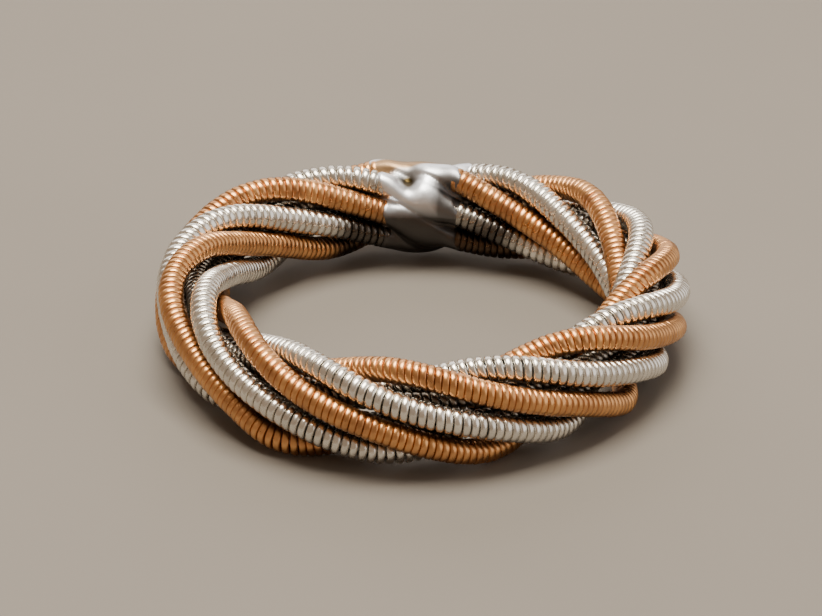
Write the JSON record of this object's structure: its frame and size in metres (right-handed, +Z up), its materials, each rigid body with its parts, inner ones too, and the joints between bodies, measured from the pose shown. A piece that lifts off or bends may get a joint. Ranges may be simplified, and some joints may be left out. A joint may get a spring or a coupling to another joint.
{
  "type": "twisted guitar-string finger ring",
  "caption": "Finger ring laid up like a rope from wound guitar strings, bronze and nickel by turns round a two-string heart, with the cut ends soldered together at the back.",
  "frame": {"origin": "centre of the finger opening, on the surface that the ring lies on", "axes": "+Z up through the finger opening, +Y towards the solder joint, +X to the right when the joint is at the back"},
  "size_m": [0.0237, 0.0234, 0.005],
  "materials": {
    "steel_core": "bare drawn wire",
    "bronze_winding": "bare bronze wire, warm and slightly tarnished between turns",
    "nickel_winding": "nickel-plated wire, bright, grey between turns",
    "solder": "smooth satin silver solder"
  },
  "bodies": {
    "root": {"bronze_core_1": "steel_core", "bronze_core_2": "steel_core", "bronze_core_3": "steel_core", "nickel_core_1": "steel_core", "nickel_core_2": "steel_core", "nickel_core_3": "steel_core", "heart_core_1": "steel_core", "heart_core_2": "steel_core", "bronze_wrap_1": "bronze_winding", "bronze_wrap_2": "bronze_winding", "bronze_wrap_3": "bronze_winding", "nickel_wrap_1": "nickel_winding", "nickel_wrap_2": "nickel_winding", "nickel_wrap_3": "nickel_winding", "heart_wrap_1": "nickel_winding", "heart_wrap_2": "nickel_winding", "solder_joint": "solder"}
  },
  "joints": []
}
